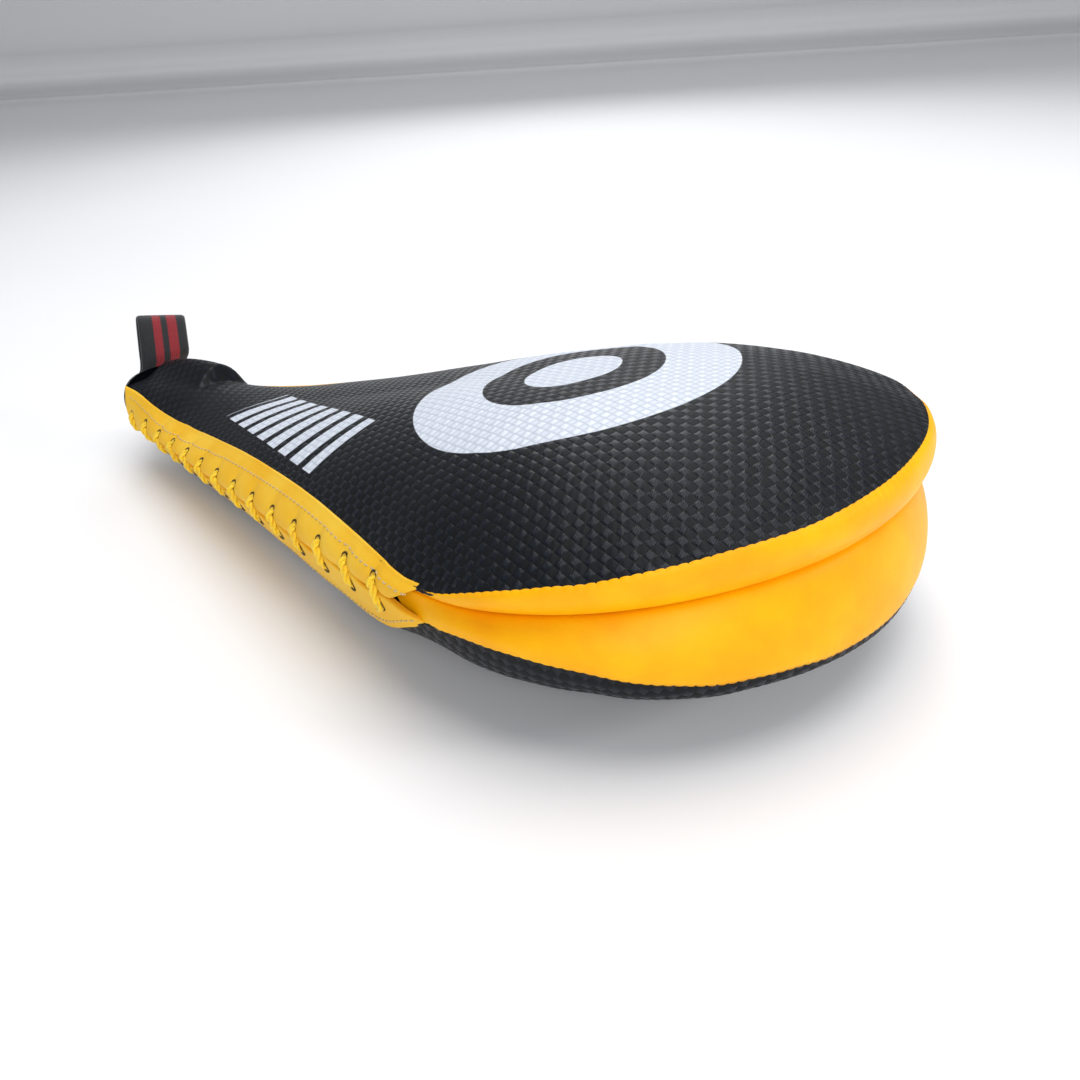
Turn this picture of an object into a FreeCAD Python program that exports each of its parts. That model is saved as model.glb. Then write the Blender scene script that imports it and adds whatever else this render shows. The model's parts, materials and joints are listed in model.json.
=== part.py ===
import FreeCAD, Part
import math
import os
import Sketcher

# Double kick paddle: two padded blades on one flat handle, laced together down both sides.
#
# Own frame while modelling: X runs from the butt to the tip, Z is up, the mid-plane is Z = 0.
# Every piece is then placed as the paddle lies on a floor, on its butt and on the lower
# blade's flat, with the origin in the middle of that flat.
# "right" is the side at -Y and "left" the side at +Y, seen from the butt towards the tip.

Vector = FreeCAD.Vector
Y_AXIS = Vector(0, 1, 0)
SIDEWAYS = FreeCAD.Rotation(Vector(1, 1, 1), 120)    # sketch X to Y, sketch Y to Z
UPRIGHT = FreeCAD.Rotation(Vector(1, 0, 0), 90)      # sketch X stays, sketch Y to Z

doc = FreeCAD.newDocument("kick_paddle")
sizes = doc.addObject("Spreadsheet::Sheet", "sizes")

driving = {
    # plan outline
    "butt_half_width": 18.0,
    "side_radius": 9000.0,
    "head_x": 294.0,
    "head_radius": 107.0,
    # blades: the seam plane rises from the hinge towards the tip, the dome stands on it
    "hinge_x": 280.0,
    "seam_rise": 4.6,
    "seam_tilt": 9.5,
    "crown": 35.0,
    "opening": 12.0,
    "opening_room": 0.5,
    "clearance": 0.3,
    # resting: tilt of the mid-plane, and the point of the lower flat that is the origin
    "rest_tilt": 4.3,
    "flat_x": 304.0,
    "flat_depth": 40.3,
    # materials
    "skin": 1.5,
    "facing": 1.6,
    "plate": 2.0,
    "core": 8.0,
    "core_inset": 10.0,
    "core_nose_gap": 6.0,
    "core_heel": 11.0,
    "core_nose": 64.0,
    "core_corner": 8.0,
    "plate_inset": 20.0,
    # lacing
    "hole_count": 14.0,
    "first_hole_x": 8.0,
    "last_hole_x": 258.0,
    "hole_height": 5.5,
    "cord_radius": 1.3,
    "cord_bend": 2.2,
    "cord_room": 0.5,
    "cord_end_in": 1.5,
    "cord_end_drop": 2.0,
    "eyelet_bore": 1.6,
    "eyelet_wall": 0.4,
    "eyelet_flange": 2.6,
    "eyelet_tail": 0.3,
    "drill_reach": 6.0,
    "lacing_channel": 8.0,
    # wrist loop
    "strap_width": 26.0,
    "strap_thickness": 1.8,
    "strap_offset": 6.0,
    "strap_height": 9.0,
    "loop_gap": 9.0,
    "loop_length": 33.0,
    "loop_neck": 6.0,
    "loop_shoulder": 15.0,
    "slot_start": 9.0,
    "loop_lean": 23.0,
    "loop_pivot": 6.5,
    "butt_cap": 1.5,
    # the depth of a blade's round wall below its seam, and a length that reaches past every piece
    "wall_depth": 60.0,
    "far": 300.0,
}

# stations of the handle: place along X, height of the black edge, height of the ridge
stations = [(0.0, 12.0, 17.0), (42.0, 11.0, 15.5), (101.0, 12.0, 18.5), (166.0, 13.5, 26.0),
            (235.0, 12.5, 35.0), (262.0, 9.0, 37.0), (279.7, 4.6, 38.0)]
letters = "abcdefg"


def side_centre():
    """Centre of the large arc down one side: inside-tangent to the head, through the butt corner."""
    head_x = driving["head_x"]
    reach = driving["side_radius"] - driving["head_radius"]
    butt = driving["butt_half_width"]
    span = math.hypot(head_x, butt)
    along = (driving["side_radius"] ** 2 - reach ** 2 + span ** 2) / (2 * span)
    off = math.sqrt(driving["side_radius"] ** 2 - along ** 2)
    # unit vector from the butt corner (0, -butt) to the head centre (head_x, 0)
    unit_x = head_x / span
    unit_y = butt / span
    return along * unit_x - off * unit_y, -butt + along * unit_y + off * unit_x


SIDE_X, SIDE_Y = side_centre()


def half_width(place):
    """Half the width of the handle at a place along X: the side's arc, then the head's."""
    side = driving["side_radius"]
    head = driving["head_radius"]
    touching_x = driving["head_x"] - head * (SIDE_X - driving["head_x"]) / (side - head)
    if place > touching_x:
        return math.sqrt(head ** 2 - (place - driving["head_x"]) ** 2)
    return math.sqrt(side ** 2 - (place - SIDE_X) ** 2) - SIDE_Y


seam_slope = math.tan(math.radians(driving["seam_tilt"]))
derived = {
    "seam_head": driving["seam_rise"] + (driving["head_x"] - driving["hinge_x"]) * seam_slope,
    "dome_radius": (driving["head_radius"] ** 2 + driving["crown"] ** 2) / (2 * driving["crown"]),
}
for number, (place, edge, ridge) in enumerate(stations):
    derived["place_" + letters[number]] = place
    derived["width_" + letters[number]] = half_width(place)
    derived["edge_" + letters[number]] = edge
    derived["ridge_" + letters[number]] = ridge

for row, (alias, value) in enumerate({**driving, **derived}.items(), start=1):
    sizes.set("A%d" % row, alias)
    sizes.set("B%d" % row, repr(value))
    sizes.setAlias("B%d" % row, alias)
doc.recompute()


def cell(alias):
    """The value of a cell of the sheet."""
    return float(sizes.get(alias))


# ---------------------------------------------------------------- helpers

TILT = "sizes.rest_tilt * 1 deg"
REST_X = "-sizes.flat_x * cos(%s) - sizes.flat_depth * sin(%s)" % (TILT, TILT)
REST_Z = "-sizes.flat_x * sin(%s) + sizes.flat_depth * cos(%s)" % (TILT, TILT)


def rest_placement():
    """Where the paddle's own frame lies once the paddle rests on the floor."""
    tilt = math.radians(cell("rest_tilt"))
    base = Vector(-cell("flat_x") * math.cos(tilt) - cell("flat_depth") * math.sin(tilt), 0,
                  -cell("flat_x") * math.sin(tilt) + cell("flat_depth") * math.cos(tilt))
    return FreeCAD.Placement(base, FreeCAD.Rotation(Y_AXIS, -cell("rest_tilt")))


REST = rest_placement()
nodes = []


def add(kind, label, **links):
    """An object of the document with its label and its linked objects."""
    thing = doc.addObject(kind, label)
    thing.Label = label
    for name, value in links.items():
        setattr(thing, name, value)
    return thing


def bind(thing, **expressions):
    """Bind properties to expressions on the sheet; a double underscore stands for a dot."""
    for name, expression in expressions.items():
        thing.setExpression(name.replace("__", "."), expression)
    return thing


def at_rest(thing):
    """Place a finished piece as it lies on the floor, and list it as a node."""
    thing.Placement = REST
    bind(thing, Placement__Base__x=REST_X, Placement__Base__z=REST_Z,
         Placement__Rotation__Angle="-" + TILT)
    nodes.append(thing)
    return thing


def mirrored(source, label, normal):
    """The mirror image of a placed piece, in a plane through the paddle's own origin."""
    twin = add("Part::Mirroring", label, Source=source, Normal=normal, Base=REST.Base)
    nodes.append(twin)
    return twin


def below(source, label):
    """The same piece on the lower half."""
    return mirrored(source, label, REST.Rotation.multVec(Vector(0, 0, 1)))


def on_left(source, label):
    """The same piece on the left side."""
    return mirrored(source, label, Y_AXIS)


def outline(owner, name, corners):
    """A closed sketch. A corner is (across, up, radius): expressions for its place, and for the
    radius of the arc to the next corner, or None for a straight edge. A radius written with a
    leading minus bulges inwards. Corners go round anticlockwise."""
    make = doc.addObject if owner is doc else owner.newObject
    sketch = make("Sketcher::SketchObject", name)
    points = [Vector(float(sizes.evalExpression(across)), float(sizes.evalExpression(up)), 0)
              for across, up, radius in corners]
    start_of = []
    end_of = []
    for index, (across, up, radius) in enumerate(corners):
        here = points[index]
        there = points[(index + 1) % len(points)]
        if radius is None:
            sketch.addGeometry(Part.LineSegment(here, there), False)
            start_of.append(1)
            end_of.append(2)
            continue
        inward = radius.startswith("-")
        size = float(sizes.evalExpression(radius.lstrip("-")))
        chord = there - here
        normal = Vector(-chord.y, chord.x, 0).normalize()
        drop = math.sqrt(max(size ** 2 - chord.Length ** 2 / 4, 0))
        centre = (here + there) * 0.5 + normal * (-drop if inward else drop)
        first, last = (there, here) if inward else (here, there)
        angles = [math.atan2(point.y - centre.y, point.x - centre.x) for point in (first, last)]
        circle = Part.Circle(centre, Vector(0, 0, 1), size)
        sketch.addGeometry(Part.ArcOfCircle(circle, *angles), False)
        start_of.append(2 if inward else 1)
        end_of.append(1 if inward else 2)
        if drop > 1e-6:
            mark = sketch.addConstraint(Sketcher.Constraint("Radius", index, size))
            sketch.setExpression("Constraints[%d]" % mark, radius.lstrip("-"))
        else:
            # a half circle between two corners one above the other: its centre is between them
            mark = sketch.addConstraint(Sketcher.Constraint("DistanceX", -1, 1, index, 3, centre.x))
            sketch.setExpression("Constraints[%d]" % mark, across)
    for index, (across, up, radius) in enumerate(corners):
        before = index - 1 if index else len(corners) - 1
        sketch.addConstraint(Sketcher.Constraint(
            "Coincident", before, end_of[before], index, start_of[index]))
        for kind, expression, value in (("DistanceX", across, points[index].x),
                                        ("DistanceY", up, points[index].y)):
            mark = sketch.addConstraint(
                Sketcher.Constraint(kind, -1, 1, index, start_of[index], value))
            sketch.setExpression("Constraints[%d]" % mark, expression)
    return sketch


def stationed_loft(label, section):
    """A solid lofted along the handle through the same section at each station."""
    sketches = []
    for letter in letters:
        names = {name: "sizes.%s_%s" % (name, letter) for name in ("width", "edge", "ridge")}
        sketch = outline(doc, "%s_%s" % (label, letter), section(**names))
        sketch.Placement = FreeCAD.Placement(Vector(cell("place_" + letter), 0, 0), SIDEWAYS)
        bind(sketch, Placement__Base__x="sizes.place_" + letter)
        sketches.append(sketch)
    return add("Part::Loft", label, Sections=sketches, Solid=True, Ruled=False, Closed=False)


def block(label, corner, size, angle="0", turn_about=None):
    """A box from expressions for its low corner and its size, turned about Y at a point."""
    thing = add("Part::Box", label)
    bind(thing, Length=size[0], Width=size[1], Height=size[2])
    at = [float(sizes.evalExpression(text)) for text in corner]
    thing.Placement = FreeCAD.Placement(Vector(*at), FreeCAD.Rotation())
    if turn_about is not None:
        about = Vector(*[float(sizes.evalExpression(text)) for text in turn_about])
        turn = FreeCAD.Rotation(Y_AXIS, float(sizes.evalExpression(angle)))
        thing.Placement = FreeCAD.Placement(turn.multVec(Vector(*at) - about) + about, turn)
    return thing


# ---------------------------------------------------------------- handle

def crown_radius(width, rise):
    """Expression for the radius of an arc over a full width with a given rise."""
    return "((%s)^2 + (%s)^2) / (2 * (%s))" % (width, rise, rise)


def face_section(width, edge, ridge):
    """Black face panel: a band of skin between two arcs."""
    inner = "%s - sizes.skin" % width
    rise = "%s - %s" % (ridge, edge)
    inner_rise = "%s - %s - sizes.skin" % (ridge, edge)
    return [(width, edge, crown_radius(width, rise)),
            ("-(%s)" % width, edge, None),
            ("-(%s)" % inner, edge, "-" + crown_radius(inner, inner_rise)),
            (inner, edge, None)]


def foam_section(width, edge, ridge):
    """Handle padding: fills the panel, and stands back from the facings to leave the lacing room."""
    inner = "%s - sizes.skin" % width
    waist = "%s - sizes.lacing_channel" % width
    return [("-(%s)" % waist, "0", None),
            (waist, "0", None),
            (waist, edge, None),
            (inner, edge, crown_radius(inner, "%s - %s - sizes.skin" % (ridge, edge))),
            ("-(%s)" % inner, edge, None),
            ("-(%s)" % waist, edge, None)]


def facing_section(width, edge, ridge):
    """Yellow facing on the right side, from the lacing seam up to the black panel."""
    outer = "-(%s)" % width
    inner = "-(%s) + sizes.facing" % width
    return [(outer, "sizes.clearance / 2", None),
            (inner, "sizes.clearance / 2", None),
            (inner, edge, None),
            (outer, edge, None)]


def hole_angle(number):
    """Angle of a hole about the side arc's centre, from the -Y direction."""
    first = math.asin((SIDE_X - cell("first_hole_x")) / cell("side_radius"))
    last = math.asin((SIDE_X - cell("last_hole_x")) / cell("side_radius"))
    return first + (last - first) * number / (cell("hole_count") - 1)


def on_side(radius, angle, height):
    """A point of the right side, in polar terms about the side arc's centre."""
    return Vector(SIDE_X - radius * math.sin(angle), SIDE_Y - radius * math.cos(angle), height)


def hole_numbers():
    return range(int(cell("hole_count")))


def row_of_rods(radius, start, length):
    """A rod through the upper facing at every hole, square to it; start is measured outwards."""
    rods = []
    for number in hole_numbers():
        angle = hole_angle(number)
        base = on_side(cell("side_radius") + start, angle, cell("hole_height"))
        outwards = on_side(1, angle, 0) - on_side(0, angle, 0)
        rods.append(Part.makeCylinder(radius, length, base, outwards))
    return rods


def core_board(label):
    """Stiff board down the middle of the handle, wider towards the head."""
    body = add("PartDesign::Body", label)
    heel = "sizes.core_inset"
    nose = "sizes.hinge_x - sizes.core_nose_gap"
    sketch = outline(body, label + "_outline", [
        (heel, "-sizes.core_heel", None), (nose, "-sizes.core_nose", None),
        (nose, "sizes.core_nose", None), (heel, "sizes.core_heel", None)])
    pad = body.newObject("PartDesign::Pad", label + "_pad")
    pad.Profile = sketch
    pad.Midplane = True
    bind(pad, Length="sizes.core")
    doc.recompute()
    rounding = body.newObject("PartDesign::Fillet", label + "_rounding")
    rounding.Base = (pad, upright_edges(pad.Shape))
    bind(rounding, Radius="sizes.core_corner")
    return body


def upright_edges(shape):
    """Names of the straight edges that run along Z."""
    names = []
    for number, edge in enumerate(shape.Edges, start=1):
        run = edge.Vertexes[-1].Point - edge.Vertexes[0].Point
        if abs(run.z) > 0.99 * run.Length > 0:
            names.append("Edge%d" % number)
    return names


def make_handle():
    """Core, padding, face panels, facings with their eyelets, and the butt's cap."""
    at_rest(core_board("handle_core"))
    face = at_rest(stationed_loft("upper_handle_face", face_section))
    below(face, "lower_handle_face")

    solid_foam = stationed_loft("handle_foam_block", foam_section)
    foam = add("Part::Cut", "upper_handle_foam", Base=solid_foam, Tool=core_board("core_space"))
    at_rest(foam)
    below(foam, "lower_handle_foam")

    plain_facing = stationed_loft("facing_blank", facing_section)
    tube_radius = cell("eyelet_bore") + cell("eyelet_wall")
    reach = cell("drill_reach")
    drill = add("Part::Feature", "lacing_holes",
                Shape=Part.makeCompound(row_of_rods(tube_radius, -reach, 2 * reach)))
    facing = at_rest(add("Part::Cut", "upper_right_facing", Base=plain_facing, Tool=drill))
    make_copies(facing, "facing")

    eyelets = add("Part::Feature", "upper_right_eyelets", Shape=Part.makeCompound(eyelet_row()))
    make_copies(at_rest(eyelets), "eyelets")

    cap = add("PartDesign::Body", "butt_cap")
    rise = "sizes.ridge_a - sizes.edge_a"
    bulge = crown_radius("sizes.width_a", rise)
    sketch = outline(cap, "butt_outline", [
        ("sizes.width_a", "-sizes.edge_a", None),
        ("sizes.width_a", "sizes.edge_a", bulge),
        ("-sizes.width_a", "sizes.edge_a", None),
        ("-sizes.width_a", "-sizes.edge_a", bulge)])
    sketch.Placement = FreeCAD.Placement(Vector(0, 0, 0), SIDEWAYS)
    pad = cap.newObject("PartDesign::Pad", "butt_pad")
    pad.Profile = sketch
    pad.Reversed = True
    bind(pad, Length="sizes.butt_cap")
    at_rest(cap)


def make_copies(source, kind):
    """The lower right, upper left and lower left copies of an upper right piece."""
    lower = below(source, "lower_right_" + kind)
    on_left(source, "upper_left_" + kind)
    on_left(lower, "lower_left_" + kind)


def eyelet_row():
    """Flanged rings lining the holes of one facing."""
    bore = cell("eyelet_bore")
    wall = cell("eyelet_wall")
    depth = cell("facing") + cell("eyelet_tail")
    reach = cell("drill_reach")
    tubes = row_of_rods(bore + wall, -depth, depth)
    flanges = row_of_rods(cell("eyelet_flange"), 0, wall)
    bores = row_of_rods(bore, -reach, 2 * reach)
    return [tube.fuse(flange).cut(hole).removeSplitter()
            for tube, flange, hole in zip(tubes, flanges, bores)]


# ---------------------------------------------------------------- lacing

def rounded_wire(points, radius):
    """Straight runs joined by tangent arcs, one arc at each inner point."""
    edges = []
    start = points[0]
    for before, corner, after in zip(points, points[1:], points[2:]):
        towards = (before - corner).normalize()
        away = (after - corner).normalize()
        half_turn = (math.pi - towards.getAngle(away)) / 2
        shorter = min((before - corner).Length, (after - corner).Length)
        bend = min(radius, 0.45 * shorter / math.tan(half_turn))
        setback = bend * math.tan(half_turn)
        enter = corner + towards * setback
        leave = corner + away * setback
        middle_way = (towards + away).normalize()
        middle = corner + middle_way * (bend / math.cos(half_turn) - bend)
        edges.append(Part.LineSegment(start, enter).toShape())
        edges.append(Part.Arc(enter, middle, leave).toShape())
        start = leave
    edges.append(Part.LineSegment(start, points[-1]).toShape())
    return Part.Wire(edges)


def tube(points, radius, bend):
    """A round cord along a route."""
    ring = Part.Wire(Part.Circle(points[0], points[1] - points[0], radius).toShape())
    return rounded_wire(points, bend).makePipeShell([ring], True, False)


def lacing_route():
    """Down across the seam outside, up to the next pair of holes behind the facings."""
    off = cell("eyelet_wall") + cell("cord_radius") + cell("cord_room")
    outside = cell("side_radius") + off
    inside = cell("side_radius") - cell("facing") - off
    height = cell("hole_height")
    end_radius = inside - cell("cord_end_in")
    end_height = height - cell("cord_end_drop")
    route = [on_side(end_radius, hole_angle(0), end_height)]
    for number in hole_numbers():
        angle = hole_angle(number)
        route.append(on_side(inside, angle, height))
        route.append(on_side(outside, angle, height))
        route.append(on_side(outside, angle, -height))
        route.append(on_side(inside, angle, -height))
    last = hole_angle(cell("hole_count") - 1)
    route.append(on_side(end_radius, last, -end_height))
    return route


def make_lacing():
    cord = add("Part::Feature", "right_lacing",
               Shape=tube(lacing_route(), cell("cord_radius"), cell("cord_bend")))
    on_left(at_rest(cord), "left_lacing")


# ---------------------------------------------------------------- blades

SEAM_Z = "sizes.seam_head"


def in_seam_frame(thing, lift):
    """Stand a primitive on the tilted seam plane, over the head's centre."""
    tilt = math.radians(cell("seam_tilt"))
    base = Vector(cell("head_x") - lift * math.sin(tilt), 0,
                  cell("seam_head") + lift * math.cos(tilt))
    thing.Placement = FreeCAD.Placement(base, FreeCAD.Rotation(Y_AXIS, -cell("seam_tilt")))
    return thing


def dome(label, inset):
    """The blade's padded form: a round wall under a spherical crown, pressed flat on top."""
    drum = add("Part::Cylinder", label + "_drum")
    bind(drum, Radius="sizes.head_radius - %s" % inset, Height="2 * sizes.wall_depth")
    in_seam_frame(drum, -cell("wall_depth"))
    ball = add("Part::Sphere", label + "_ball")
    bind(ball, Radius="sizes.dome_radius - %s" % inset)
    in_seam_frame(ball, cell("crown") - cell("dome_radius"))
    top = "sizes.flat_depth - %s" % inset
    press = block(label + "_press",
                  ("sizes.flat_x - sizes.far", "-sizes.far", top + " - sizes.far"),
                  ("2 * sizes.far", "2 * sizes.far", "sizes.far"),
                  "-sizes.rest_tilt", ("sizes.flat_x", "0", top))
    return add("Part::MultiCommon", label, Shapes=[drum, ball, press])


def slab(label, low, high):
    """A level slab that starts at the hinge."""
    return block(label, ("sizes.hinge_x + sizes.clearance", "-sizes.far", low),
                 ("sizes.far", "2 * sizes.far", "%s - (%s)" % (high, low)))


def make_blade():
    """A blade's inner panel, gusset, face, flex plate and padding, and their lower twins."""
    outer = dome("blade_outside", "0")
    inner = dome("blade_inside", "sizes.skin")
    start = "sizes.hinge_x + sizes.clearance"
    ahead = block("ahead_of_hinge", (start, "-sizes.far", "-sizes.far"),
                  ("sizes.far", "2 * sizes.far", "2 * sizes.far"),
                  "sizes.opening + sizes.opening_room", (start, "0", "0"))
    seam_point = ("sizes.head_x", "0", SEAM_Z)
    half_space = ("2 * sizes.far", "2 * sizes.far", "sizes.far")
    over_seam = block("over_seam", ("sizes.head_x - sizes.far", "-sizes.far", SEAM_Z),
                      half_space, "-sizes.seam_tilt", seam_point)
    under_seam = block("under_seam",
                       ("sizes.head_x - sizes.far", "-sizes.far", SEAM_Z + " - sizes.far"),
                       half_space, "-sizes.seam_tilt", seam_point)
    floor = "sizes.clearance / 2"
    lined = "sizes.clearance / 2 + sizes.skin"

    panel = add("Part::MultiCommon", "upper_blade_inner_panel",
                Shapes=[outer, ahead, under_seam, slab("lining_space", floor, lined)])
    below(at_rest(panel), "lower_blade_inner_panel")

    rim = add("Part::MultiCommon", "gusset_block",
              Shapes=[outer, ahead, under_seam, slab("gusset_space", lined, "sizes.far")])
    gusset = add("Part::Cut", "upper_blade_gusset", Base=rim, Tool=inner)
    below(at_rest(gusset), "lower_blade_gusset")

    cap = add("Part::MultiCommon", "face_block",
              Shapes=[outer, ahead, over_seam, slab("face_space", lined, "sizes.far")])
    face = add("Part::Cut", "upper_blade_face", Base=cap, Tool=inner)
    below(at_rest(face), "lower_blade_face")

    def flex_plate(label):
        """Springy board inside the blade, a smaller outline than the blade's own."""
        room = slab(label + "_space", lined, lined + " + sizes.plate")
        form = dome(label + "_outline", "sizes.plate_inset")
        return add("Part::MultiCommon", label, Shapes=[form, ahead, room])

    below(at_rest(flex_plate("upper_blade_flex_plate")), "lower_blade_flex_plate")

    pad_block = add("Part::MultiCommon", "pad_block",
                    Shapes=[inner, ahead, slab("pad_space", lined, "sizes.far")])
    plate_space = flex_plate("plate_space")
    foam = add("Part::Cut", "upper_blade_foam", Base=pad_block, Tool=plate_space)
    below(at_rest(foam), "lower_blade_foam")


# ---------------------------------------------------------------- wrist loop

def make_wrist_loop():
    """A ring of elastic strap that stands on the butt, and its anchor."""
    anchor = add("Part::Box", "wrist_loop_anchor")
    bind(anchor, Length="sizes.loop_pivot - sizes.butt_cap - sizes.strap_thickness - sizes.clearance",
         Width="sizes.strap_width", Height="2 * sizes.strap_thickness")
    low = Vector(-cell("loop_pivot") + cell("strap_thickness") + cell("clearance"),
                 cell("strap_offset") - cell("strap_width") / 2,
                 cell("strap_height") - cell("strap_thickness"))
    nodes.append(anchor)
    anchor.Placement = REST.multiply(FreeCAD.Placement(low, FreeCAD.Rotation()))

    loop = add("PartDesign::Body", "wrist_loop")
    inner = "sizes.loop_gap / 2"
    outer = "sizes.loop_gap / 2 + sizes.strap_thickness"
    shoulder = "sizes.loop_shoulder"
    ring = outline(loop, "loop_outside", [
        ("0", "-sizes.strap_thickness", None),
        ("sizes.loop_neck", "-sizes.strap_thickness", None),
        (shoulder, "-(%s)" % outer, None),
        ("sizes.loop_length", "-(%s)" % outer, outer),
        ("sizes.loop_length", outer, None),
        (shoulder, outer, None),
        ("sizes.loop_neck", "sizes.strap_thickness", None),
        ("0", "sizes.strap_thickness", "sizes.strap_thickness")])
    hollow = outline(loop, "loop_hollow", [
        ("sizes.slot_start", "0", None),
        (shoulder, "-(%s)" % inner, None),
        ("sizes.loop_length", "-(%s)" % inner, inner),
        ("sizes.loop_length", inner, None),
        (shoulder, inner, None)])
    for sketch in (ring, hollow):
        sketch.Placement = FreeCAD.Placement(Vector(0, 0, 0), UPRIGHT)
    pad = loop.newObject("PartDesign::Pad", "loop_pad")
    pad.Profile = ring
    pad.Midplane = True
    bind(pad, Length="sizes.strap_width")
    doc.recompute()
    slot = loop.newObject("PartDesign::Pocket", "loop_slot")
    slot.Profile = hollow
    slot.Midplane = True
    bind(slot, Length="2 * sizes.strap_width")
    pivot = Vector(-cell("loop_pivot"), cell("strap_offset"), cell("strap_height"))
    stand = FreeCAD.Rotation(Y_AXIS, -90 - cell("loop_lean"))
    loop.Placement = REST.multiply(FreeCAD.Placement(pivot, stand))
    nodes.append(loop)


# ---------------------------------------------------------------- build, check, write

make_handle()
make_lacing()
make_blade()
make_wrist_loop()
doc.recompute()

for thing in doc.Objects:
    if "Invalid" in thing.State or "Error" in thing.State:
        raise RuntimeError("%s: %s" % (thing.Label, thing.State))
for node in nodes:
    shape = node.Shape
    if shape.isNull() or not shape.isValid() or not shape.Solids:
        raise RuntimeError("%s has no valid solid" % node.Label)
    box = shape.optimalBoundingBox()
    print("%-26s %2d solids %10.0f mm3" % (node.Label, len(shape.Solids), shape.Volume),
          " ".join("%7.1f" % side for side in
                   (box.XMin, box.XMax, box.YMin, box.YMax, box.ZMin, box.ZMax)))

os.makedirs("parts", exist_ok=True)
for node in nodes:
    node.Shape.exportStep("parts/%s.step" % node.Label)
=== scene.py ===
import json
import math

import bmesh
import bpy
import numpy as np
from mathutils import Matrix, Vector


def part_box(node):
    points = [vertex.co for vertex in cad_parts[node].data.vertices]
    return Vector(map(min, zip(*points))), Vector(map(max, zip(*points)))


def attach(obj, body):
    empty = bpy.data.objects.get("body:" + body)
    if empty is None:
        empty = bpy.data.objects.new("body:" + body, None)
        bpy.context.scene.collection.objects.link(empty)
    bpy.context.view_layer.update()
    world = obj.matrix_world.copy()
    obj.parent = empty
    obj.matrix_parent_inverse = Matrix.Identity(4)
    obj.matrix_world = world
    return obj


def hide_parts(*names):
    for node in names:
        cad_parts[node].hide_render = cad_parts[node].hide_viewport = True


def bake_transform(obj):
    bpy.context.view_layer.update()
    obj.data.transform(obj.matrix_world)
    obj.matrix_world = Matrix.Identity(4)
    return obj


# Looks of the double kick paddle: sewn covers, gussets and facings, lacing, strap and studio.
#
# Shapes are worked out in the paddle's own frame, in millimetres, as in the CAD model: X from
# the butt to the tip, the mid-plane at Z = 0, right at -Y. to_row() lays them in the row frame.

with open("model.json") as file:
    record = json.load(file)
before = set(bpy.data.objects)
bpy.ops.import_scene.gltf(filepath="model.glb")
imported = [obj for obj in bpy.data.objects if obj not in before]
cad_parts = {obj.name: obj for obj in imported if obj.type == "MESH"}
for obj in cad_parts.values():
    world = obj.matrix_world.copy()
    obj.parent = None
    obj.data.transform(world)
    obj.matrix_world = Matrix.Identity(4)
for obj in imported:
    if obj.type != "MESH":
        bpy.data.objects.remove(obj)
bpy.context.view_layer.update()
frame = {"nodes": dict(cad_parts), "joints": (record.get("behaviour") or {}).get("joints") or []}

MM = 0.001
joints = {joint["name"]: joint for joint in frame["joints"]}
HINGE = np.array(joints["upper_blade_flex"]["pos_m"])
LOOP_PIVOT = np.array(joints["wrist_loop_swing"]["pos_m"])

# the CAD model's own sizes
HINGE_X = 280
REST_TILT = math.radians(4.3)
BUTT_HALF_WIDTH = 18
SIDE_RADIUS = 9000
HEAD_X = 294
HEAD_RADIUS = 107
HOLE_COUNT = 14
FIRST_HOLE_X = 8
LAST_HOLE_X = 258
HOLE_HEIGHT = 5.5

# soft shapes
CORNER = 6                 # rounding of the butt's corners
CROWN_POWER = 2.5          # 2 is a parabola, more is fuller
LEAN = 6.5                 # how far a facing's top edge stands in from the outline
SEAM_INSET = 1.9           # how far the blades' black seam stands in from the outline
STITCH = 3.2               # pitch of the sewing
# distance of the black panels' edges and ridges from the mid-plane, by X
EDGE = {
    "upper": [(0, 17), (20, 11.5), (43, 7.5), (68, 6.8), (138, 10.2), (209, 10.2), (251, 6.8),
              (280, 4.8), (315, 11.4), (356, 18.2), (401, 22.8)],
    "lower": [(0, 4), (20, 9), (43, 14), (68, 18), (138, 22), (209, 24.5), (251, 21),
              (280, 9.5), (315, 10.2), (356, 19.5), (401, 28)],
}
RIDGE = {
    "upper": [(0, 17.8), (43, 18), (68, 13.5), (138, 17.5), (209, 29.6), (251, 37.2), (294, 43.1)],
    "lower": [(0, 10), (20, 15), (43, 19), (68, 21), (138, 26), (209, 31), (251, 35), (294, 42.5)],
}
# how far those edges stand in from the outline, by distance along it from the middle of the butt
INSET = [(0, 1), (16, 1.5), (26, 4.5), (45, LEAN), (262, LEAN), (318, SEAM_INSET), (520, SEAM_INSET)]
CREASE_LIFT = 5            # how far the line between the two blades stands above the mid-plane


# ---------------------------------------------------------------- outline

def to_row(points):
    """Points of the paddle's frame, in mm, as they lie at rest in the row frame, in metres."""
    away = (np.asarray(points, float) - (HINGE_X, 0, 0)) * MM
    x, y, z = np.moveaxis(away, -1, 0)
    cos, sin = math.cos(REST_TILT), math.sin(REST_TILT)
    return np.stack((x * cos - z * sin, y, x * sin + z * cos), -1) + HINGE


def to_paddle(points):
    """The reverse of to_row."""
    x, y, z = np.moveaxis(np.asarray(points, float) - HINGE, -1, 0)
    cos, sin = math.cos(REST_TILT), math.sin(REST_TILT)
    return np.stack((x * cos + z * sin, y, z * cos - x * sin), -1) / MM + (HINGE_X, 0, 0)


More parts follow.
